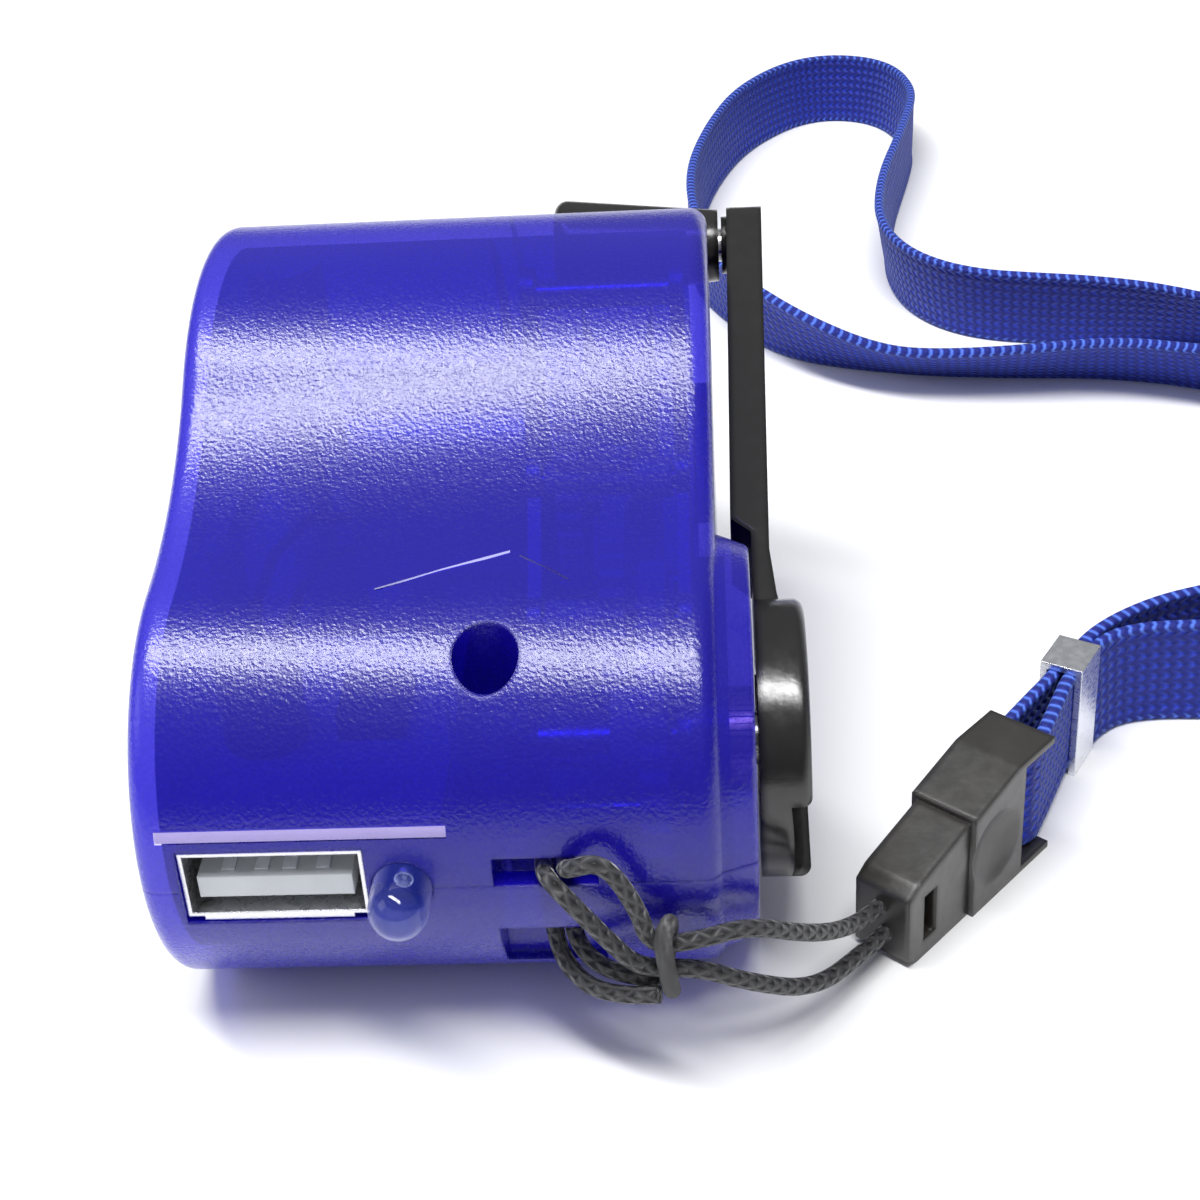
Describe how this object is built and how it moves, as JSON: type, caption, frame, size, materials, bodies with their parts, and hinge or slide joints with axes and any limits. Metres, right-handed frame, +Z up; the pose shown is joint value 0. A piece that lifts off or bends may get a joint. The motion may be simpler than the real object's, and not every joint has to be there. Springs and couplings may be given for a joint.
{
  "type": "hand crank phone charger",
  "caption": "Two-lobed hand crank charger with a folding side crank, a power socket, a lamp and a neck strap on a buckle.",
  "frame": {"origin": "centre of the case's flat base", "axes": "+X towards the crank side, -Y towards the face with the socket and lamp, +Z up"},
  "size_m": [0.1204, 0.1996, 0.045],
  "materials": {
    "shell_blue": "translucent blue plastic, satin texture",
    "crank_black": "black plastic, satin",
    "buckle_black": "black plastic, matt",
    "screw_steel": "zinc plated steel",
    "usb_steel": "bright plated steel",
    "usb_tongue": "pale grey plastic",
    "contact_gold": "gold plated",
    "lens_clear": "clear epoxy",
    "lead_tin": "tinned wire",
    "board": "laminate",
    "cap_sleeve": "shrink sleeve",
    "chip": "moulded",
    "can_steel": "plated steel",
    "copper": "enamelled copper wire",
    "gear_white": "acetal",
    "plate_steel": "stamped steel",
    "pin_steel": "ground steel",
    "brass": "turned",
    "magnet": "ferrite",
    "wire_red": "insulated wire",
    "cord_black": "braided cord",
    "strap_blue": "woven strap",
    "crimp_tin": "plated steel"
  },
  "bodies": {
    "housing": {"upper_shell": "shell_blue", "lower_shell": "shell_blue", "case_screws": "screw_steel", "crank_bush": "brass", "usb_shell": "usb_steel", "usb_tongue": "usb_tongue", "usb_contacts": "contact_gold", "led_lens": "lens_clear", "led_leads": "lead_tin", "circuit_board": "board", "capacitor": "cap_sleeve", "regulator": "chip", "generator_can": "can_steel", "generator_end_cap": "can_steel", "stator_coils": "copper", "inner_gear_plate": "plate_steel", "outer_gear_plate": "plate_steel", "plate_pillars": "pin_steel", "gear_axles": "pin_steel", "generator_leads": "wire_red", "lanyard_cord": "cord_black", "cord_knot": "cord_black", "buckle_clip": "buckle_black", "buckle_body": "buckle_black", "strap_wrap": "strap_blue", "strap_crimp": "crimp_tin", "neck_strap": "strap_blue"},
    "crank": {"crank_hub": "crank_black", "crank_axle": "pin_steel", "drive_gear": "gear_white", "hub_pin": "pin_steel"},
    "arm": {"crank_arm": "crank_black", "knob_screw": "screw_steel"},
    "knob": {"crank_knob": "crank_black"},
    "gear_1": {"first_gear": "gear_white"},
    "gear_2": {"second_gear": "gear_white"},
    "rotor": {"rotor_magnet": "magnet", "rotor_shaft": "pin_steel", "rotor_pinion": "brass"}
  },
  "joints": [
    {"name": "crank_spin", "type": "hinge", "parent": "housing", "child": "crank", "pos_m": [0.0235, -0.0155, 0.0165], "axis": [1, 0, 0], "continuous": true, "deforming": ["lanyard_cord", "cord_knot"]},
    {"name": "crank_fold", "type": "hinge", "parent": "crank", "child": "arm", "pos_m": [0.02575, -0.0155, 0.0165], "axis": [0, 0.3256, -0.9455], "range_deg": [0, 180]},
    {"name": "knob_spin", "type": "hinge", "parent": "arm", "child": "knob", "pos_m": [0.0142, 0.0365, 0.03441], "axis": [1, 0, 0], "continuous": true},
    {"name": "gear_1_spin", "type": "hinge", "parent": "housing", "child": "gear_1", "pos_m": [0.0142, 0.001, 0.0165], "axis": [1, 0, 0], "continuous": true},
    {"name": "gear_2_spin", "type": "hinge", "parent": "housing", "child": "gear_2", "pos_m": [0.011, 0.01033, 0.02482], "axis": [1, 0, 0], "continuous": true},
    {"name": "rotor_spin", "type": "hinge", "parent": "housing", "child": "rotor", "pos_m": [0, 0.0205, 0.02], "axis": [1, 0, 0], "continuous": true}
  ],
  "couplings": [
    {"joint": "gear_1_spin", "follows": "crank_spin", "ratio": -4},
    {"joint": "gear_2_spin", "follows": "crank_spin", "ratio": 16},
    {"joint": "rotor_spin", "follows": "crank_spin", "ratio": -64}
  ]
}
